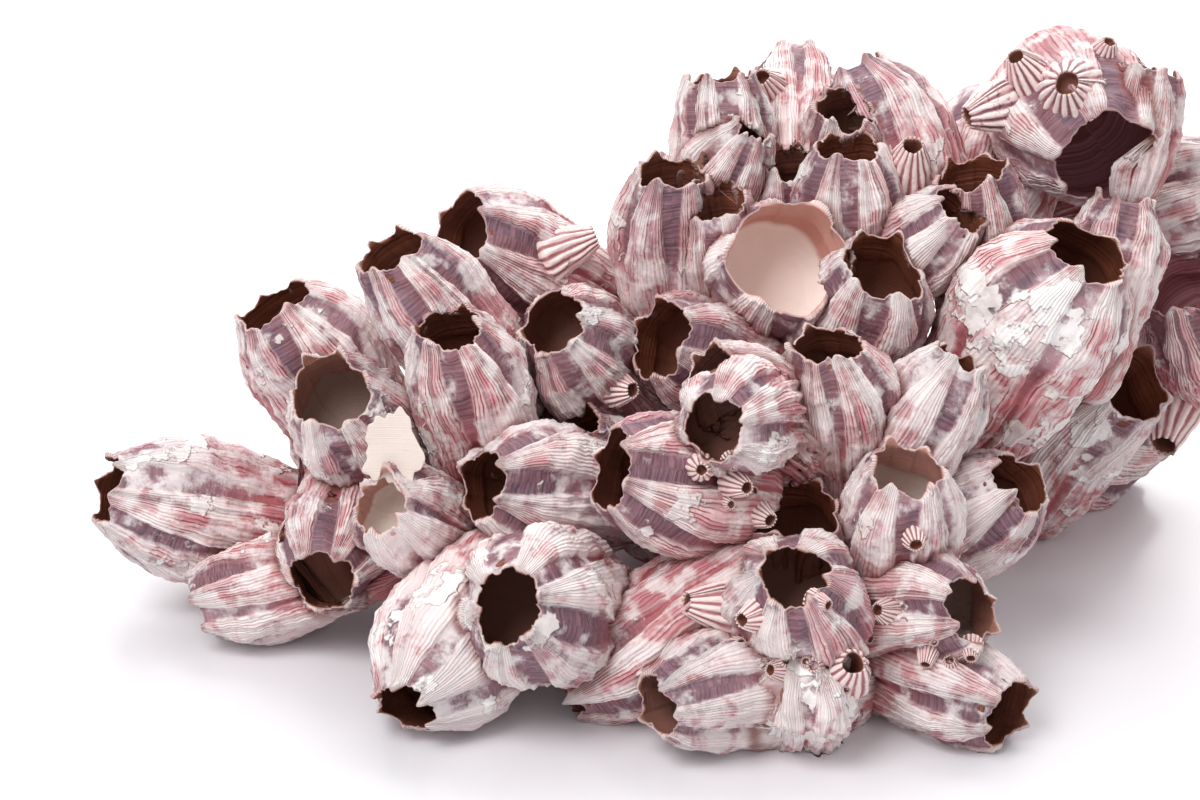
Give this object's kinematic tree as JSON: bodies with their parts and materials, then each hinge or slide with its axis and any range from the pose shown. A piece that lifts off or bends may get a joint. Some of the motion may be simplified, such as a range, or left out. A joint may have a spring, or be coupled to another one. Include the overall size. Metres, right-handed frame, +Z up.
{
  "type": "barnacle cluster",
  "caption": "Dried cluster of giant purple acorn barnacles grown together, chalky white and purple-pink ribbed shells with open brown-lined mouths, for display",
  "frame": {"origin": "centre of the bounding box's bottom, on the surface that the cluster rests on", "axes": "+X along the cluster's longest extent, to the right in the picture; +Y away from the viewer; +Z up"},
  "size_m": [0.345, 0.2056, 0.1488],
  "materials": {
    "purple_shell": "dry chalky white and purple-pink ribbed shell plates, brown satin sheath inside the mouths"
  },
  "bodies": {
    "root": {"front_low_shell": "purple_shell", "corner_shell": "purple_shell", "front_mid_shell": "purple_shell", "front_right_shell": "purple_shell", "front_round_shell": "purple_shell", "front_left_shell": "purple_shell", "left_round_shell": "purple_shell", "pale_small_shell": "purple_shell", "left_low_shell": "purple_shell", "left_tip_shell": "purple_shell", "dark_hollow_shell": "purple_shell", "right_open_shell": "purple_shell", "right_tilted_shell": "purple_shell", "teardrop_shell": "purple_shell", "middle_left_shell": "purple_shell", "front_side_shell": "purple_shell", "left_wide_shell": "purple_shell", "lower_twin_shell": "purple_shell", "square_mouth_shell": "purple_shell", "pointed_mouth_shell": "purple_shell", "centre_crown_shell": "purple_shell", "striped_shell": "purple_shell", "hidden_lip_shell": "purple_shell", "left_crown_shell": "purple_shell", "upper_twin_shell": "purple_shell", "back_left_shell": "purple_shell", "giant_shell": "purple_shell", "broken_bowl_shell": "purple_shell", "bowl_mate_shell": "purple_shell", "brown_mouth_shell": "purple_shell", "top_left_shell": "purple_shell", "top_ridged_shell": "purple_shell", "leaning_shell": "purple_shell", "top_right_shell": "purple_shell", "right_dark_shell": "purple_shell", "tower_shell": "purple_shell", "tower_side_shell": "purple_shell", "edge_purple_shell": "purple_shell", "top_slit_shell": "purple_shell", "top_gap_shell": "purple_shell", "top_back_shell": "purple_shell", "front_foot_shell": "purple_shell", "front_under_shell": "purple_shell", "dark_lip_shell": "purple_shell", "fan_shell": "purple_shell", "top_grey_shell": "purple_shell", "top_dome_shell": "purple_shell", "back_purple_shell": "purple_shell", "back_high_shell": "purple_shell", "back_rise_shell": "purple_shell", "back_middle_shell": "purple_shell", "back_wing_shell": "purple_shell", "back_tail_shell": "purple_shell", "right_rise_shell": "purple_shell", "right_end_shell": "purple_shell", "back_foot_left_shell": "purple_shell", "back_foot_middle_shell": "purple_shell", "back_foot_right_shell": "purple_shell", "right_foot_shell": "purple_shell", "under_shell": "purple_shell"}
  },
  "joints": []
}
